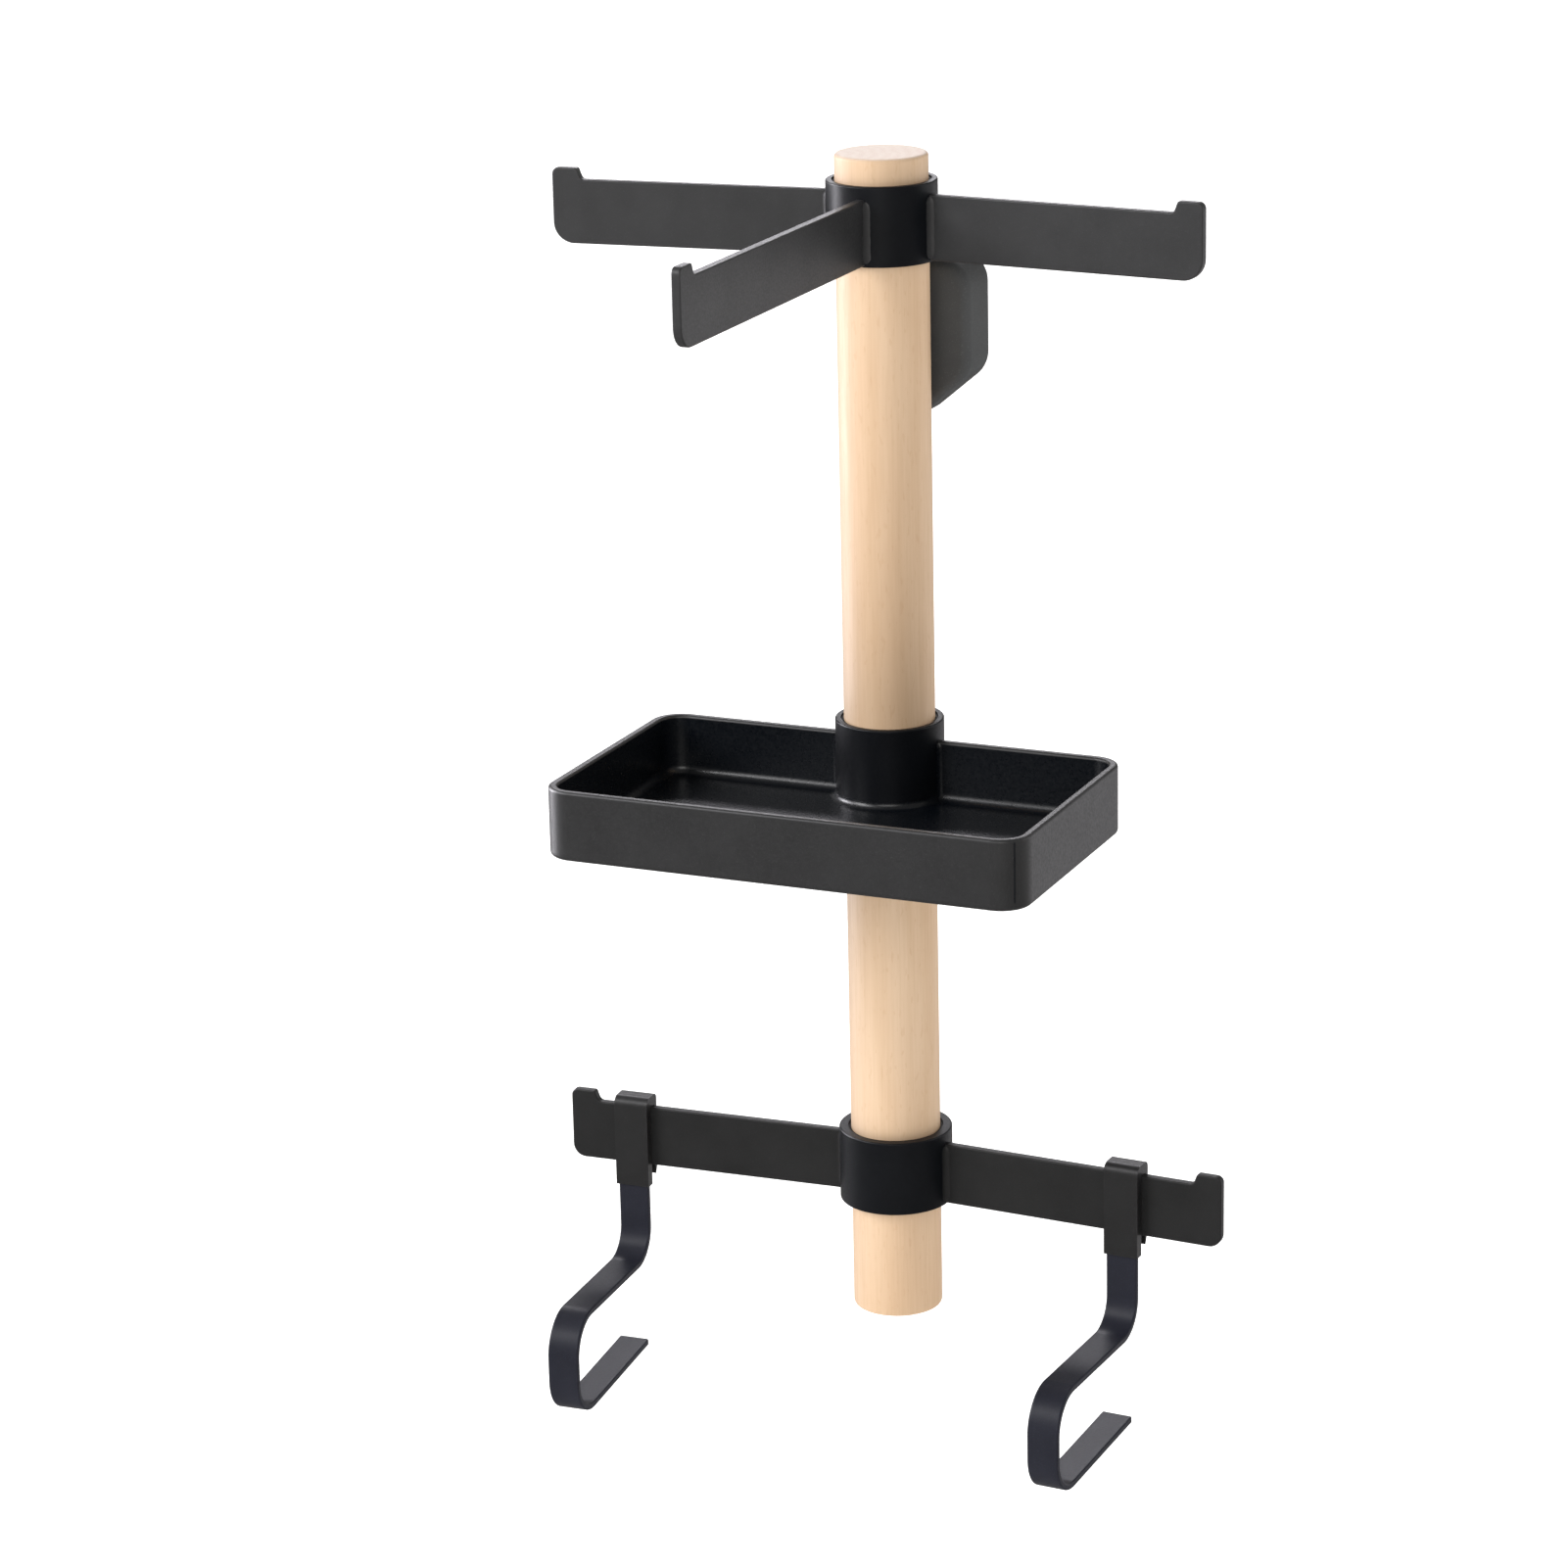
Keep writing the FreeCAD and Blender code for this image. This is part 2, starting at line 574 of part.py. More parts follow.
def tangent_chain(sketch, moves):
    """Lines and arcs joined smoothly; each move is ("line", length) or ("bend", radius, degrees)."""
    point = corner((-size["strap_setback"], -size["strap_start"]))
    heading = -90.0
    elements = []
    for move in moves:
        if move[0] == "line":
            along = Vector(math.cos(math.radians(heading)), math.sin(math.radians(heading)), 0)
            end = point + along * as_size(move[1]).number
            sketch.addGeometry(Part.LineSegment(point, end))
            elements.append((sketch.GeometryCount - 1, 1, 2))
        else:
            radius = as_size(move[1]).number
            turn = move[2]
            side = math.copysign(1, turn)
            outward = math.radians(heading - 90 * side)
            centre = point - Vector(math.cos(outward), math.sin(outward), 0) * radius
            start_angle = outward
            end_angle = start_angle + math.radians(turn)
            end = centre + Vector(math.cos(end_angle), math.sin(end_angle), 0) * radius
            circle = Part.Circle(centre, Vector(0, 0, 1), radius)
            low, high = sorted((start_angle, end_angle))
            sketch.addGeometry(Part.ArcOfCircle(circle, low, high))
            first, last = (1, 2) if turn > 0 else (2, 1)
            elements.append((sketch.GeometryCount - 1, first, last))
            heading += turn
        point = end
    for before, after in zip(elements, elements[1:]):
        sketch.addConstraint(Sketcher.Constraint("Tangent", before[0], before[2], after[0], after[1]))
    return elements


def make_strap(name, x, y, z, turn):
    """A flat strap bent forward, down and back into a long tongue."""
    body = new_body(name)
    neck = size["strap_neck_bend"]
    nose = size["strap_nose_bend"]
    cup = size["strap_cup_bend"]
    rise = size["tongue_rise"]
    drop = size["strap_run_level"] - size["strap_start"] - neck
    run = size["strap_reach"] - size["strap_setback"] - neck - nose
    fall = size["strap_depth"] - size["strap_run_level"] - nose - cup
    spine = new_sketch(body, "spine", "YZ_Plane")
    tangent_chain(spine, [("line", drop), ("bend", neck, -90), ("line", run), ("bend", nose, 90),
                          ("line", fall), ("bend", cup, 90 + rise.number), ("line", size["tongue_length"])])
    pin_point(spine, 0, 1, (-size["strap_setback"], -size["strap_start"]))
    spine.addConstraint(Sketcher.Constraint("Vertical", 0))
    spine.addConstraint(Sketcher.Constraint("Horizontal", 2))
    spine.addConstraint(Sketcher.Constraint("Vertical", 4))
    for element, length in ((0, drop), (2, run), (4, fall), (6, size["tongue_length"])):
        index = spine.addConstraint(Sketcher.Constraint("Distance", element, length.number))
        spine.setExpression("Constraints[%d]" % index, length.text)
    for element, radius in ((1, neck), (3, nose), (5, cup)):
        pin_radius(spine, element, radius)
    tilt = spine.addConstraint(Sketcher.Constraint("Angle", -1, 1, 6, 1, math.radians(rise.number)))
    spine.setExpression("Constraints[%d]" % tilt, rise.text + " * 1 deg")
    section = new_sketch(body, "section", "XY_Plane", -size["strap_start"])
    half_width = size["strap_width"] / 2
    half_thick = size["strap_thickness"] / 2
    middle = -size["strap_setback"]
    draw_rectangle(section, (-half_width, middle - half_thick), (half_width, middle + half_thick))
    pipe = body.newObject("PartDesign::AdditivePipe", name + "_sweep")
    pipe.Profile = section
    pipe.Spine = (spine, ["Edge%d" % number for number in range(1, 8)])
    pipe.Mode = "Frenet"
    doc.recompute()
    length = (drop + run + fall + size["tongue_length"]).number
    length += math.radians(90) * (neck.number + nose.number) + math.radians(90 + rise.number) * cup.number
    expected = length * size["strap_width"].number * size["strap_thickness"].number
    assert abs(pipe.Shape.Volume - expected) < 0.01 * expected, (name, pipe.Shape.Volume, expected)
    half = half_width.number
    round_edges(body, "edges", size["strap_edge"], lambda edge: at(edge, x=half) or at(edge, x=-half))
    place(body, x, y, z, turn)


def make_hanging_hooks():
    strip_top = size["bar_collar_low"] + size["strip_lift"] + size["strip_height"]
    sweep = size["bar_arm_sweep"]
    for side, label, along, direction in ((-1, "left", size["left_hook_place"], sweep),
                                          (1, "right", size["right_hook_place"], -sweep)):
        across = Size(math.cos(math.radians(sweep.number)), "cos(%s * 1 deg)" % sweep.text)
        forward = Size(math.sin(math.radians(sweep.number)), "sin(%s * 1 deg)" % sweep.text)
        x = along * across * side
        y = -(size["pole_stand_off"] + along * forward)
        make_clip("hook_clip_" + label, x, y, strip_top, direction)
        make_strap("hook_strap_" + label, x, y, strip_top, direction)


def build():
    make_pole()
    make_bracket_shell()
    make_back_cover()
    make_magnets()
    make_wall_pad()
    make_screws("cover_screws", cover_screw_places(), size["pad_thickness"] + size["cover_head_depth"],
                size["cover_head_radius"], size["cover_head_depth"], size["cover_screw_radius"],
                size["cover_screw_length"])
    front_wall = size["pole_stand_off"] - size["pole_radius"] - size["bracket_wall"]
    make_screws("pole_screws", [(0, size["pole_screw_pitch"] * 0.5), (0, size["pole_screw_pitch"] * -0.5)],
                front_wall, size["pole_screw_head"], size["pole_head_depth"], size["pole_screw_radius"],
                size["pole_screw_length"])
    make_top_hooks()
    make_tray()
    make_bar()
    make_hanging_hooks()
    doc.recompute()


def check():
    """Stop on any failed object, empty shape or broken solid."""
    for item in doc.Objects:
        failed = [state for state in item.State if state in ("Invalid", "Error")]
        assert not failed, (item.Name, failed)
    for piece in pieces:
        assert not piece.Shape.isNull(), piece.Label
        assert piece.Shape.isValid(), piece.Label
        assert piece.Shape.Solids, piece.Label


def export():
    os.makedirs("parts", exist_ok=True)
    for piece in pieces:
        piece.Shape.exportStep("parts/%s.step" % piece.Label)
        box = piece.Shape.BoundBox
        print("%-20s solids %d  volume %9.1f  x %.1f..%.1f  y %.1f..%.1f  z %.1f..%.1f" % (
            piece.Label, len(piece.Shape.Solids), piece.Shape.Volume,
            box.XMin, box.XMax, box.YMin, box.YMax, box.ZMin, box.ZMax))


build()
check()
export()
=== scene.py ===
"""Looks of the wall-held mug tree: materials, weld and moulded fillets, light and camera."""

import json
import math

import bmesh
import bpy
from mathutils import Matrix, Vector, noise


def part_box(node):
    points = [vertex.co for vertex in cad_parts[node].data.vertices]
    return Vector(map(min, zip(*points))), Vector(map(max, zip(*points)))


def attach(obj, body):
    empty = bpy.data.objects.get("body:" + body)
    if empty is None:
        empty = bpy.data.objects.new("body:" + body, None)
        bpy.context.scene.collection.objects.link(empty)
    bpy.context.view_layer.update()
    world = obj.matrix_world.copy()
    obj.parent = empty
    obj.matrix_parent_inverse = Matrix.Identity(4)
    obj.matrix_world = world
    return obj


MM = 0.001
PITH_OFFSET = (0.022, 0.049, 0.0)   # shift that puts the pith beside the dowel
TRAY_WALL = 2.7 * MM                # a little under the tray's wall and floor thickness
TRAY_RIM_ROUND = 0.9 * MM           # a little under the rounding of its rim
TRAY_FLOOR = 3.0 * MM               # top of its floor, from its underside
SUNK = 0.35 * MM                    # how deep a fillet's back is buried in its neighbours

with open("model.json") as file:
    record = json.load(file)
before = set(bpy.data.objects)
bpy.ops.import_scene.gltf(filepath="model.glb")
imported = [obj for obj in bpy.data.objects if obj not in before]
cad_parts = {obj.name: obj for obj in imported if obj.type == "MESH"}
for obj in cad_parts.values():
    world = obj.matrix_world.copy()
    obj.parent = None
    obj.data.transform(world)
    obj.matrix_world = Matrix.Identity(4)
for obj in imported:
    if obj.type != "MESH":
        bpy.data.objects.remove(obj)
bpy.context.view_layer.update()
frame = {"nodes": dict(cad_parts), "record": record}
nodes = frame["nodes"]
scene = bpy.context.scene


# ---------------------------------------------------------------- node helpers

class Graph:
    """A short way to write one material's node tree."""

    def __init__(self, name):
        self.material = bpy.data.materials.new(name)
        self.material.use_nodes = True
        self.tree = self.material.node_tree
        self.tree.nodes.clear()
        self.output = self.tree.nodes.new("ShaderNodeOutputMaterial")
        self.shader = self.tree.nodes.new("ShaderNodeBsdfPrincipled")
        self.link(self.shader.outputs["BSDF"], self.output.inputs["Surface"])
        self.coordinates = self.tree.nodes.new("ShaderNodeTexCoord")

    def link(self, source, target):
        self.tree.links.new(source, target)

    def feed(self, socket, value):
        if isinstance(value, bpy.types.NodeSocket):
            self.link(value, socket)
        else:
            socket.default_value = value

    def place(self, scale=(1, 1, 1)):
        """The object's own coordinates, stretched where scale is under 1."""
        mapping = self.tree.nodes.new("ShaderNodeMapping")
        mapping.inputs["Scale"].default_value = scale
        self.link(self.coordinates.outputs["Object"], mapping.inputs["Vector"])
        return mapping.outputs["Vector"]

    def noise(self, scale, detail=3.0, roughness=0.5, distortion=0.0, stretch=(1, 1, 1)):
        node = self.tree.nodes.new("ShaderNodeTexNoise")
        node.inputs["Scale"].default_value = scale
        node.inputs["Detail"].default_value = detail
        node.inputs["Roughness"].default_value = roughness
        node.inputs["Distortion"].default_value = distortion
        self.link(self.place(stretch), node.inputs["Vector"])
        return node.outputs["Fac"]

    def ramp(self, value, stops):
        node = self.tree.nodes.new("ShaderNodeValToRGB")
        elements = node.color_ramp.elements
        while len(elements) < len(stops):
            elements.new(0.5)
        for element, (position, color) in zip(elements, stops):
            element.position = position
            element.color = (*color, 1)
        self.link(value, node.inputs["Fac"])
        return node.outputs["Color"]

    def mix(self, factor, first, second, blend="MIX"):
        node = self.tree.nodes.new("ShaderNodeMix")
        node.data_type = "RGBA"
        node.blend_type = blend
        self.feed(node.inputs[0], factor)
        for socket, value in ((node.inputs[6], first), (node.inputs[7], second)):
            self.feed(socket, (*value, 1) if isinstance(value, tuple) else value)
        return node.outputs[2]

    def math(self, operation, first, second=0.0):
        node = self.tree.nodes.new("ShaderNodeMath")
        node.operation = operation
        self.feed(node.inputs[0], first)
        self.feed(node.inputs[1], second)
        return node.outputs[0]

    def span(self, value, low, high, to_low=0.0, to_high=1.0):
        """Carry low..high over to to_low..to_high, held at both ends."""
        node = self.tree.nodes.new("ShaderNodeMapRange")
        self.link(value, node.inputs["Value"])
        limits = (("From Min", low), ("From Max", high), ("To Min", to_low), ("To Max", to_high))
        for name, number in limits:
            node.inputs[name].default_value = number
        return node.outputs["Result"]

    def bump(self, height, distance, strength):
        node = self.tree.nodes.new("ShaderNodeBump")
        node.inputs["Distance"].default_value = distance
        node.inputs["Strength"].default_value = strength
        self.link(height, node.inputs["Height"])
        return node.outputs["Normal"]

    def edge(self, radius, low, high):
        """1 on sharp outer and inner edges, 0 on flats."""
        soft = self.tree.nodes.new("ShaderNodeBevel")
        soft.samples = 4
        soft.inputs["Radius"].default_value = radius
        geometry = self.tree.nodes.new("ShaderNodeNewGeometry")
        dot = self.tree.nodes.new("ShaderNodeVectorMath")
        dot.operation = "DOT_PRODUCT"
        self.link(soft.outputs["Normal"], dot.inputs[0])
        self.link(geometry.outputs["Normal"], dot.inputs[1])
        return self.span(dot.outputs["Value"], high, low)

    def finish(self, color, roughness, normal=None, **constants):
        self.feed(self.shader.inputs["Base Color"], color)
        self.feed(self.shader.inputs["Roughness"], roughness)
        if normal is not None:
            self.link(normal, self.shader.inputs["Normal"])
        for name, value in constants.items():
            self.shader.inputs[name.replace("_", " ")].default_value = value
        return self.material


# ---------------------------------------------------------------- materials

def end_grain(g):
    """Colour of the dowel's cut ends, and a mask that is 1 on them.

    Rings round a pith beside the dowel, with fine pores.
    """
    dark_ring = (0.640, 0.515, 0.425)
    pale_ring = (0.660, 0.545, 0.455)
    pore = (0.52, 0.39, 0.31)
    split = g.tree.nodes.new("ShaderNodeSeparateXYZ")
    g.link(g.coordinates.outputs["Normal"], split.inputs["Vector"])
    is_end = g.span(g.math("ABSOLUTE", split.outputs["Z"]), 0.55, 0.9)
    rings = g.tree.nodes.new("ShaderNodeTexWave")
    rings.wave_type = "RINGS"
    rings.rings_direction = "Z"
    rings.inputs["Scale"].default_value = 82.0
    rings.inputs["Distortion"].default_value = 5.0
    rings.inputs["Detail"].default_value = 2.0
    rings.inputs["Detail Scale"].default_value = 1.5
    pith = g.place()
    pith.node.inputs["Location"].default_value = PITH_OFFSET
    g.link(pith, rings.inputs["Vector"])
    color = g.ramp(rings.outputs["Fac"], [(0.1, dark_ring), (0.9, pale_ring)])
    pores = g.noise(2600.0, 2.0, 0.6)
    color = g.mix(g.span(pores, 0.60, 0.72), color, pore)
    return color, is_end


def wood_material():
    """Pale beech dowel: soft long grain, growth bands, ray flecks, a few mineral marks, end grain."""
    g = Graph("beech_dowel")
    broad = g.noise(46.0, 3.0, 0.55, 0.3, (1, 1, 0.16))
    bands = g.noise(230.0, 2.0, 0.5, 0.2, (1, 1, 0.025))
    fibres = g.noise(1500.0, 3.0, 0.6, 0.0, (1, 1, 0.03))
    flecks = g.noise(1000.0, 1.0, 0.4, 0.0, (1, 1, 0.26))
    pale = (0.600, 0.436, 0.290)
    warm = (0.540, 0.368, 0.226)
    fleck_brown = (0.47, 0.29, 0.16)
    mineral_brown = (0.30, 0.19, 0.12)
    color = g.ramp(broad, [(0.30, warm), (0.68, pale)])
    band_tint = g.ramp(bands, [(0.34, (0.90, 0.86, 0.80)), (0.60, (1.0, 1.0, 1.0))])
    color = g.mix(0.42, color, band_tint, "MULTIPLY")
    fibre_tint = g.ramp(fibres, [(0.30, (0.90, 0.87, 0.83)), (0.66, (1.03, 1.03, 1.03))])
    color = g.mix(0.45, color, fibre_tint, "MULTIPLY")
    fleck_mask = g.span(flecks, 0.635, 0.71)
    color = g.mix(g.math("MULTIPLY", fleck_mask, 0.26), color, fleck_brown)
    blotch = g.noise(20.0, 2.0, 0.5, 0.6, (1.3, 1.3, 0.5))
    thin_marks = g.noise(420.0, 3.0, 0.65, 1.2, (1, 1, 0.35))
    marks = g.math("MULTIPLY", g.span(blotch, 0.60, 0.70), g.span(thin_marks, 0.60, 0.68))
    color = g.mix(g.math("MULTIPLY", marks, 0.38), color, mineral_brown)
    end_color, is_end = end_grain(g)
    color = g.mix(is_end, color, end_color)
    roughness = g.span(fibres, 0.3, 0.7, 0.62, 0.50)
    height = g.math("ADD", g.math("MULTIPLY", fibres, 0.6), g.math("MULTIPLY", fleck_mask, -0.5))
    return g.finish(color, roughness, g.bump(height, 0.00007, 0.7), Specular_IOR_Level=0.42)


def inner_mask(g):
    """1 on the tray's inside faces, which are painted darker as shade and made glossier; 0 on its outside and
    rim.
    """
    low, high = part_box("tray_pan")
    split = g.tree.nodes.new("ShaderNodeSeparateXYZ")
    g.link(g.coordinates.outputs["Object"], split.inputs["Vector"])
    mask = g.math("GREATER_THAN", split.outputs["Z"], low[2] + TRAY_WALL)
    mask = g.math("MULTIPLY", mask, g.math("LESS_THAN", split.outputs["Z"], high[2] - TRAY_RIM_ROUND))
    for axis, number in (("X", 0), ("Y", 1)):
        middle = (low[number] + high[number]) / 2
        reach = (high[number] - low[number]) / 2 - TRAY_WALL
        offset = g.math("ABSOLUTE", g.math("SUBTRACT", split.outputs[axis], middle))
        mask = g.math("MULTIPLY", mask, g.math("LESS_THAN", offset, reach))
    return mask


def coat_material(name, base, lift, roughness, grain, specular, inside=False):
    """Satin coat or moulded plastic: fine pebble, slow cloudy change, pale edges that are partly rub and
    partly painted highlight.

    grain is the pebble's scale and depth; inside paints the tray's inner faces darker as shade and makes them
    glossier.
    """
    g = Graph(name)
    grain_scale, grain_depth = grain
    # near-black for the tray's inner faces: painted shade of its walls
    painted_inner_shade = (0.0012, 0.0022, 0.0040)
    cloud = g.noise(55.0, 3.0, 0.55)
    pebble = g.noise(grain_scale, 2.0, 0.55)
    speck = g.noise(grain_scale * 1.9, 1.0, 0.5)
    color = g.ramp(cloud, [(0.30, base), (0.72, lift)])
    speck_mask = g.math("MULTIPLY", g.span(speck, 0.62, 0.74), 0.35)
    color = g.mix(speck_mask, color, tuple(value * 1.8 for value in lift))
    # pale edges: partly rubbed coat, partly a painted highlight along the edges
    edge_rub_and_highlight = g.edge(0.0007, 0.86, 0.985)
    patchy = g.span(g.noise(300.0, 3.0, 0.6), 0.42, 0.66)
    rub_and_painted_highlight = g.math("MULTIPLY", g.math("MULTIPLY", edge_rub_and_highlight, patchy), 0.5)
    color = g.mix(rub_and_painted_highlight, color, tuple(value * 2.6 for value in lift))
    rough = g.span(pebble, 0.3, 0.7, *roughness)
    if inside:
        # inner faces: colour painted darker as shade, roughness lowered for a real glossier face
        inner_shade_and_gloss = inner_mask(g)
        color = g.mix(inner_shade_and_gloss, color, painted_inner_shade)
        rough = g.math("SUBTRACT", rough, g.math("MULTIPLY", inner_shade_and_gloss, 0.12))
    rough = g.math("SUBTRACT", rough, g.math("MULTIPLY", edge_rub_and_highlight, 0.05))
    return g.finish(color, rough, g.bump(pebble, grain_depth, 0.8), Specular_IOR_Level=specular)


def steel_material():
    g = Graph("zinc_plated_steel")
    turned = g.noise(900.0, 2.0, 0.6, 0.0, (1, 0.05, 1))
    cloud = g.noise(160.0, 3.0, 0.6)
    color = g.ramp(cloud, [(0.3, (0.50, 0.50, 0.49)), (0.7, (0.66, 0.66, 0.64))])
    rough = g.span(turned, 0.3, 0.7, 0.26, 0.42)
    return g.finish(color, rough, g.bump(turned, 0.00003, 0.5), Metallic=1.0)


def rubber_material():
    g = Graph("grip_rubber")
    pebble = g.noise(1800.0, 2.0, 0.6)
    cloud = g.noise(90.0, 3.0, 0.5)
    color = g.ramp(cloud, [(0.3, (0.014, 0.014, 0.015)), (0.7, (0.024, 0.024, 0.025))])
    rough = g.span(pebble, 0.3, 0.7, 0.70, 0.85)
    return g.finish(color, rough, g.bump(pebble, 0.00004, 0.8), Specular_IOR_Level=0.3)


WOOD = wood_material()
ARM = coat_material(
    "black_powder_coat", base=(0.0160, 0.0162, 0.0170), lift=(0.0225, 0.0227, 0.0238),
    roughness=(0.40, 0.52), grain=(1500.0, 0.000022), specular=0.42)
# the arm coat again, painted darker as shade: the lower bar gets less light than the top arms
BAR_PAINTED_SHADE = coat_material(
    "black_coat_painted_shade_bar", base=(0.0085, 0.0086, 0.0088), lift=(0.0120, 0.0121, 0.0124),
    roughness=(0.42, 0.54), grain=(1500.0, 0.000022), specular=0.30)
COLLAR = coat_material(
    "black_collar_coat", base=(0.0026, 0.0031, 0.0044), lift=(0.0040, 0.0047, 0.0064),
    roughness=(0.34, 0.44), grain=(1500.0, 0.000014), specular=0.16)
STRAP = coat_material(
    "black_strap_coat", base=(0.0125, 0.0133, 0.0198), lift=(0.0172, 0.0182, 0.0262),
    roughness=(0.33, 0.41), grain=(1300.0, 0.000010), specular=0.14)
TRAY = coat_material(
    "black_moulded_plastic", base=(0.0120, 0.0121, 0.0128), lift=(0.0162, 0.0163, 0.0172),
    roughness=(0.38, 0.50), grain=(1100.0, 0.000025), specular=0.42, inside=True)
GREY = coat_material(
    "grey_moulded_plastic", base=(0.0560, 0.0575, 0.0585), lift=(0.0640, 0.0655, 0.0660),
    roughness=(0.58, 0.68), grain=(1000.0, 0.000035), specular=0.05)
CLIP = coat_material(
    "black_clip_plastic", base=(0.0095, 0.0095, 0.0097), lift=(0.0125, 0.0125, 0.0130),
    roughness=(0.36, 0.46), grain=(1200.0, 0.000022), specular=0.32)
STEEL = steel_material()
RUBBER = rubber_material()

LOOKS = {
    "beech_wood": WOOD, "black_coat": ARM, "black_plastic": TRAY, "grey_plastic": GREY,
    "grip_rubber": RUBBER, "zinc_steel": STEEL,
}
SPECIAL = {
    "hook_strap_left": STRAP, "hook_strap_right": STRAP,
    "hook_clip_left": CLIP, "hook_clip_right": CLIP,
    "top_collar": COLLAR, "tray_collar": COLLAR, "bar_collar": COLLAR,
    "bar_arm_left": BAR_PAINTED_SHADE, "bar_arm_right": BAR_PAINTED_SHADE,
}


def dress_cad_nodes():
    """Give each CAD node its look, by its own name first and by its material slot otherwise."""
    slots = {row["node"]: row["material_slot"] for row in frame["record"]["subparts"]}
    for name, item in nodes.items():
        look = SPECIAL.get(name, LOOKS[slots[name]])
        item.data.materials.clear()
        item.data.materials.append(look)


# ---------------------------------------------------------------- fillets where strips and walls meet collars

def add_piece(name, mesh, body, look):
    """Turn a built mesh into a piece that rides on a moving body."""
    mesh.normal_update()
    bmesh.ops.recalc_face_normals(mesh, faces=mesh.faces)
    data = bpy.data.meshes.new(name)
    mesh.to_mesh(data)
    mesh.free()
    for face in data.polygons:
        face.use_smooth = True
    data.set_sharp_from_angle(angle=math.radians(38))
    item = bpy.data.objects.new(name, data)
    bpy.context.collection.objects.link(item)
    data.materials.append(look)
    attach(item, body)


def close_rings(mesh, rings):
    """Side faces between neighbouring rings of points, and a cap on the first and the last."""
    count = len(rings[0])
    for before, after in zip(rings, rings[1:]):
        for index in range(count):
            following = (index + 1) % count
            mesh.faces.new((before[index], before[following], after[following], after[index]))
    mesh.faces.new(list(reversed(rings[0])))
    mesh.faces.new(rings[-1])


def fillet_profile(collar_radius, half_thickness, bend, steps=9):
    """Corner between a strip face and the collar, as points in the collar's plane (strip along +x)."""
    centre_x = math.sqrt((collar_radius + bend) ** 2 - (half_thickness + bend) ** 2)
    centre = Vector((centre_x, half_thickness + bend))
    first = math.atan2(-centre.y, -centre.x)
    last = -math.pi / 2
    points = []
    for step in range(steps + 1):
        angle = first + (last - first) * step / steps
        points.append(centre + bend * Vector((math.cos(angle), math.sin(angle))))
    inner_radius = collar_radius - SUNK
    buried = half_thickness - SUNK
    points.append(Vector((centre.x, buried)))
    points.append(Vector((math.sqrt(inner_radius ** 2 - buried ** 2), buried)))
    points.append(points[0].normalized() * inner_radius)
    return points


def add_upright_fillet(mesh, centre, turn, side, collar_radius, half_thickness, bend, low, high, uneven):
    """One upright fillet; its bend shrinks at both ends and wavers a little, as a dressed weld does."""
    rows = 26
    end_length = 1.6 * MM
    spin = Matrix.Rotation(turn, 2)
    rings = []
    for row in range(rows + 1):
        share = row / rows
        level = low + (high - low) * share
        end_distance = min(share, 1 - share) * (high - low)
        taper = min(1.0, 0.35 + 0.65 * math.sqrt(min(1.0, end_distance / end_length)))
        waver = 1.0 + uneven * noise.noise(Vector((level * 700, turn * 3 + side, collar_radius * 100)))
        ring = []
        for point in fillet_profile(collar_radius, half_thickness, bend * taper * waver):
            spot = spin @ Vector((point.x, point.y * side))
            ring.append(mesh.verts.new((centre.x + spot.x, centre.y + spot.y, level)))
        rings.append(ring)
    close_rings(mesh, rings)


def collar_facts(node):
    """Centre in plan and outer radius of a collar."""
    low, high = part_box(node)
    centre = Vector(((low[0] + high[0]) / 2, (low[1] + high[1]) / 2))
    return centre, (high[0] - low[0]) / 2


def add_arm_welds():
    """A slim weld on both faces of every arm, where it meets its collar."""
    half_strip = 1.45 * MM
    bend = 2.3 * MM
    weld_low = 0.7 * MM
    weld_high = 20.3 * MM
    arms = (
        ("top_arm_left", "top_collar", "top_hooks", ARM, 185.0),
        ("top_arm_right", "top_collar", "top_hooks", ARM, -5.0),
        ("top_arm_front", "top_collar", "top_hooks", ARM, -90.0),
        ("bar_arm_left", "bar_collar", "bar", BAR_PAINTED_SHADE, 183.0),
        ("bar_arm_right", "bar_collar", "bar", BAR_PAINTED_SHADE, -3.0),
    )
    for arm, collar, body, look, turn in arms:
        centre, radius = collar_facts(collar)
        arm_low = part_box(arm)[0][2]
        mesh = bmesh.new()
        for side in (1, -1):
            add_upright_fillet(mesh, centre, math.radians(turn), side, radius, half_strip, bend,
                               arm_low + weld_low, arm_low + weld_high, 0.10)
        add_piece("weld_" + arm, mesh, body, look)


def add_collar_foot(centre, radius, floor):
    """Hollow fillet round the front half of the collar, on the tray floor."""
    bend = 2.2 * MM
    margin = math.asin(0.4 * MM / radius)
    first = math.radians(180) + margin
    last = math.radians(360) - margin
    steps = 96
    mesh = bmesh.new()
    rings = []
    for step in range(steps + 1):
        angle = first + (last - first) * step / steps
        outward = Vector((math.cos(angle), math.sin(angle)))
        ring = []
        profile = [(radius - SUNK, floor - SUNK), (radius - SUNK, floor + bend)]
        for part in range(9):
            sweep = math.radians(180 + 90 * part / 8)
            profile.append((radius + bend + bend * math.cos(sweep), floor + bend + bend * math.sin(sweep)))
        profile.append((radius + bend, floor - SUNK))
        for distance, level in profile:
            spot = centre + outward * distance
            ring.append(mesh.verts.new((spot.x, spot.y, level)))
        rings.append(ring)
    close_rings(mesh, rings)
    add_piece("tray_collar_foot", mesh, "tray", TRAY)


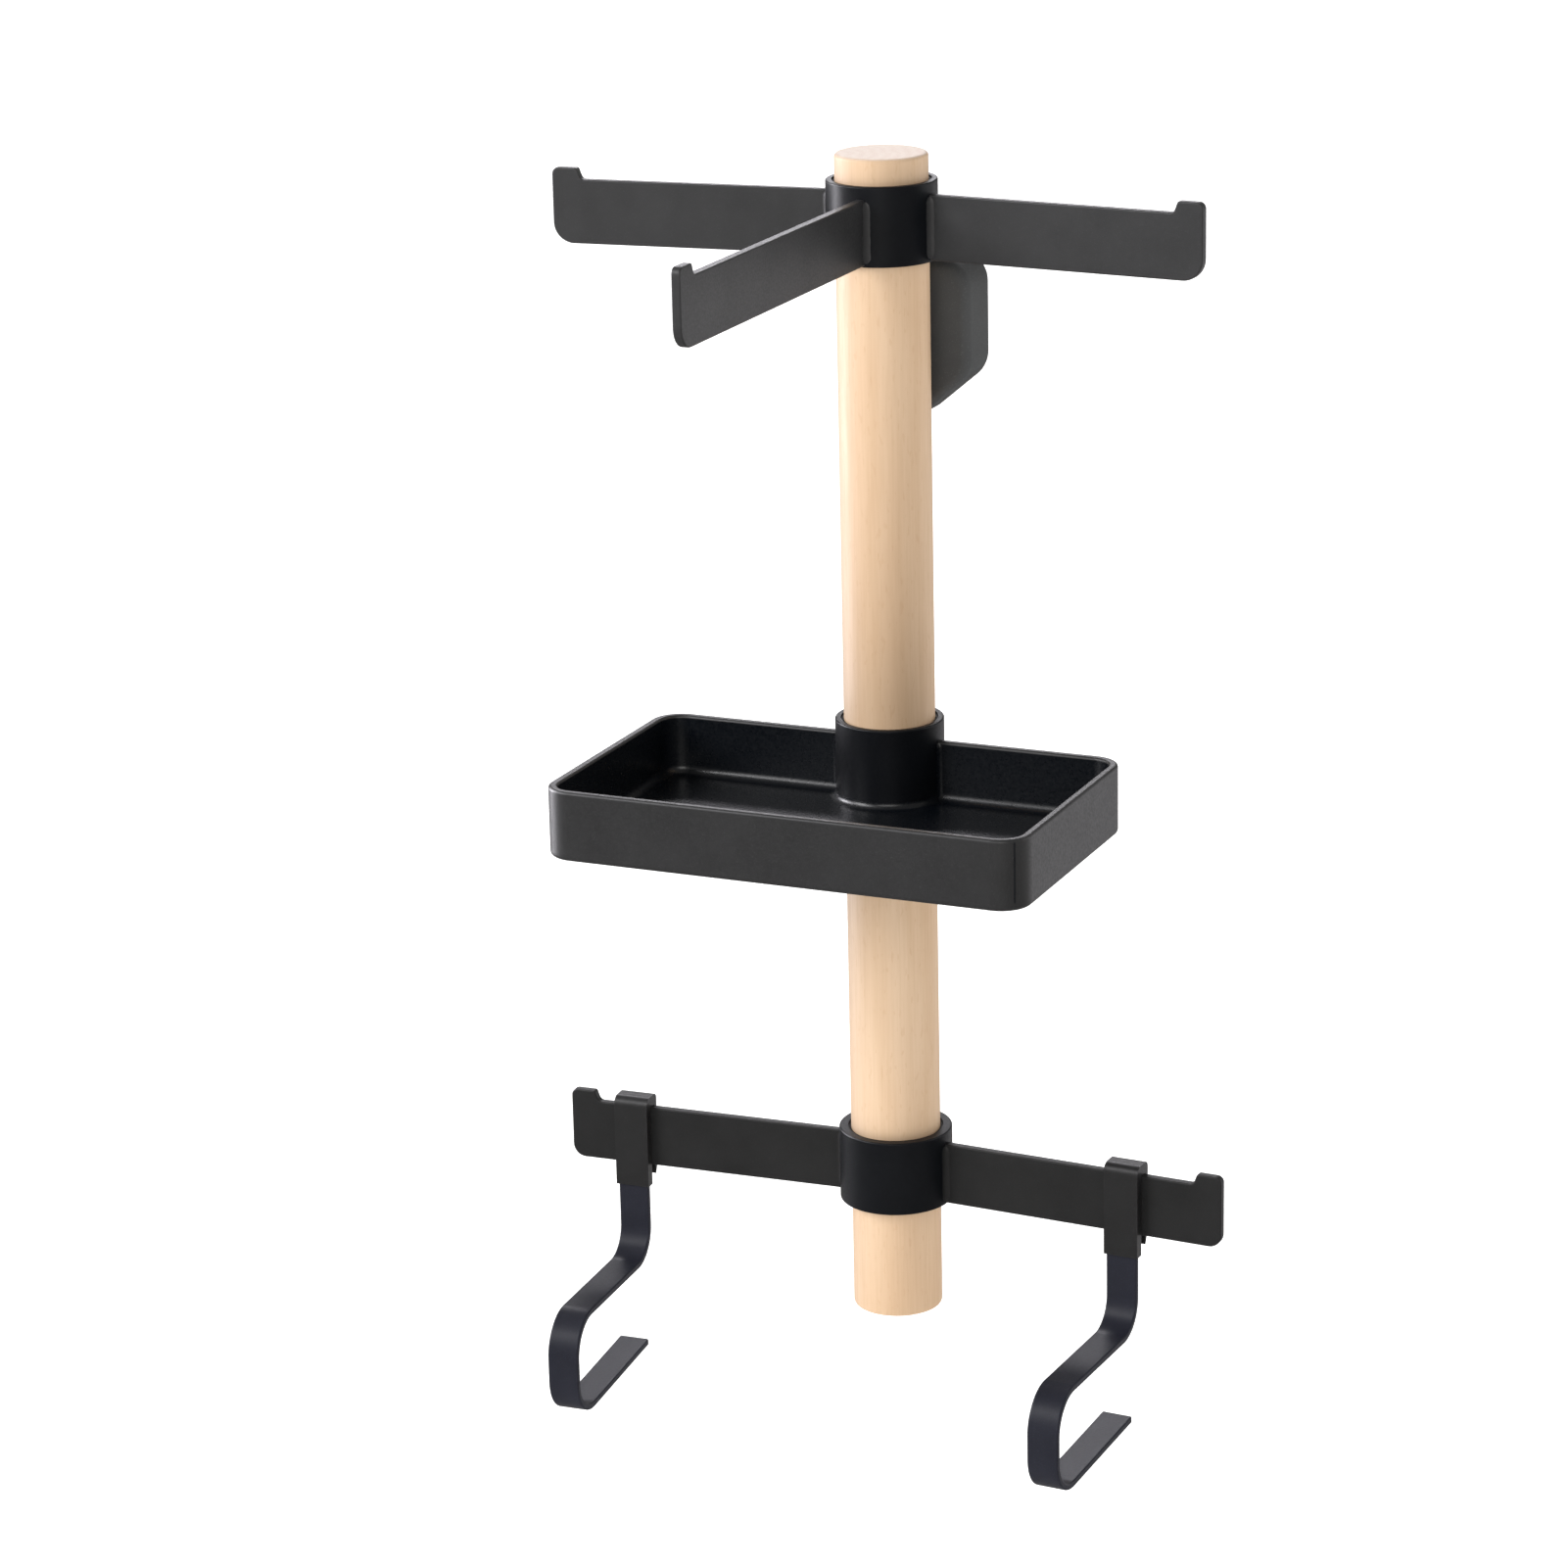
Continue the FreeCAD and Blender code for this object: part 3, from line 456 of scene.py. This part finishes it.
def add_tray_fillets():
    """Moulded fillets where the collar meets the tray's floor and both faces of its back wall."""
    centre, radius = collar_facts("tray_collar")
    pan_low, pan_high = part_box("tray_pan")
    floor = pan_low[2] + TRAY_FLOOR
    top = pan_high[2] - 0.6 * MM
    underside = pan_low[2] + 1.2 * MM
    inner_wall = 1.9 * MM
    outer_wall = 1.1 * MM
    bend = 2.0 * MM
    add_collar_foot(centre, radius, floor)
    mesh = bmesh.new()
    for turn, side in ((0.0, -1), (math.pi, 1)):
        add_upright_fillet(mesh, centre, turn, side, radius, inner_wall, bend, floor, top, 0.0)
    for turn, side in ((0.0, 1), (math.pi, -1)):
        add_upright_fillet(mesh, centre, turn, side, radius, outer_wall, bend, underside, top, 0.0)
    add_piece("tray_collar_sides", mesh, "tray", TRAY)


# ---------------------------------------------------------------- stage, light and camera

def make_stage():
    """A pale floor that curves up into a backdrop, well away from the object."""
    floor_level = -0.62
    wall_place = 1.9
    wall_top = 4.0
    bend = 0.8
    front_edge = -5.0
    half_width = 5.0
    profile = [(front_edge, floor_level), (wall_place - bend, floor_level)]
    for step in range(1, 16):
        angle = math.radians(90 * step / 16)
        y = wall_place - bend + bend * math.sin(angle)
        profile.append((y, floor_level + bend - bend * math.cos(angle)))
    profile += [(wall_place, floor_level + bend), (wall_place, wall_top)]
    mesh = bmesh.new()
    left = [mesh.verts.new((-half_width, y, z)) for y, z in profile]
    right = [mesh.verts.new((half_width, y, z)) for y, z in profile]
    for index in range(len(profile) - 1):
        mesh.faces.new((left[index], right[index], right[index + 1], left[index + 1]))
    data = bpy.data.meshes.new("pale_sweep")
    mesh.to_mesh(data)
    mesh.free()
    for face in data.polygons:
        face.use_smooth = True
    item = bpy.data.objects.new("pale_sweep", data)
    bpy.context.collection.objects.link(item)
    g = Graph("pale_paper")
    tone = g.ramp(g.noise(3.0, 2.0), [(0.3, (0.86, 0.86, 0.86)), (0.7, (0.88, 0.88, 0.88))])
    g.finish(tone, 0.9, Specular_IOR_Level=0.1)
    g.shader.inputs["Emission Color"].default_value = (1.0, 1.0, 1.0, 1.0)
    g.shader.inputs["Emission Strength"].default_value = 0.62
    data.materials.append(g.material)
    item.visible_glossy = False


def add_area(name, place, target, width, height, power, color):
    """A rectangular lamp at place that faces target."""
    light = bpy.data.lights.new(name, "AREA")
    light.shape = "RECTANGLE"
    light.size = width
    light.size_y = height
    light.energy = power
    light.color = color
    item = bpy.data.objects.new(name, light)
    item.location = place
    item.rotation_euler = (Vector(target) - Vector(place)).to_track_quat("-Z", "Y").to_euler()
    bpy.context.collection.objects.link(item)
    return item


def make_light():
    """A soft key from the left, a weaker fill in front, a rim on the right and three cards."""
    world = bpy.data.worlds.new("studio")
    scene.world = world
    world.use_nodes = True
    back = world.node_tree.nodes["Background"]
    back.inputs["Color"].default_value = (1.0, 0.968, 0.935, 1)
    back.inputs["Strength"].default_value = 0.33
    middle = (0, -0.06, -0.12)
    add_area("key_left", (-1.4, -1.45, 1.0), (0, -0.06, 0.0), 1.0, 1.2, 47, (0.985, 0.98, 1.0))
    add_area("front_fill", (0.55, -2.2, 0.65), middle, 1.4, 1.2, 21, (1.0, 0.985, 0.965))
    add_area("right_rim", (1.5, 0.75, 0.2), middle, 0.9, 1.3, 5, (0.98, 0.99, 1.0))
    # white cards seen only as reflections: along the pole's left edge, on faces turned to the right
    # and on edges that face up
    for name, place, width, height, power in (("left_card", (-1.6, 0.0, 0.15), 0.8, 1.4, 70),
                                              ("right_card", (0.62, 1.15, -0.45), 0.9, 0.8, 1.5),
                                              ("back_card", (-0.56, 1.17, 0.64), 0.7, 0.24, 6.4)):
        card = add_area(name, place, middle, width, height, power, (0.96, 0.94, 1.0))
        card.visible_diffuse = False


def make_camera():
    """Seen from the front, a little from the +X side and from above, through a long lens."""
    azimuth = math.radians(22.814)
    distance = 1.507414
    height = 0.315802
    axis_y = -0.036
    tilt = math.radians(17.037)
    turn = azimuth + math.radians(1.334)
    roll = math.radians(-1.26)
    across = Vector((math.cos(turn), math.sin(turn), 0))
    level = Vector((-math.sin(turn), math.cos(turn), 0))
    upright = Vector((0, 0, 1))
    forward = level * math.cos(tilt) - upright * math.sin(tilt)
    up = upright * math.cos(tilt) + level * math.sin(tilt)
    right = across * math.cos(roll) + up * math.sin(roll)
    top = up * math.cos(roll) - across * math.sin(roll)
    pose = Matrix((right, top, -forward)).transposed().to_4x4()
    pose.translation = Vector((distance * math.sin(azimuth), axis_y - distance * math.cos(azimuth), height))
    data = bpy.data.cameras.new("camera")
    data.lens = 109.92
    data.sensor_width = 36.0
    data.clip_start = 0.05
    data.clip_end = 50.0
    item = bpy.data.objects.new("camera", data)
    item.matrix_world = pose
    bpy.context.collection.objects.link(item)
    scene.camera = item


dress_cad_nodes()
add_arm_welds()
add_tray_fillets()
make_stage()
make_light()
make_camera()
scene.view_settings.view_transform = "Standard"
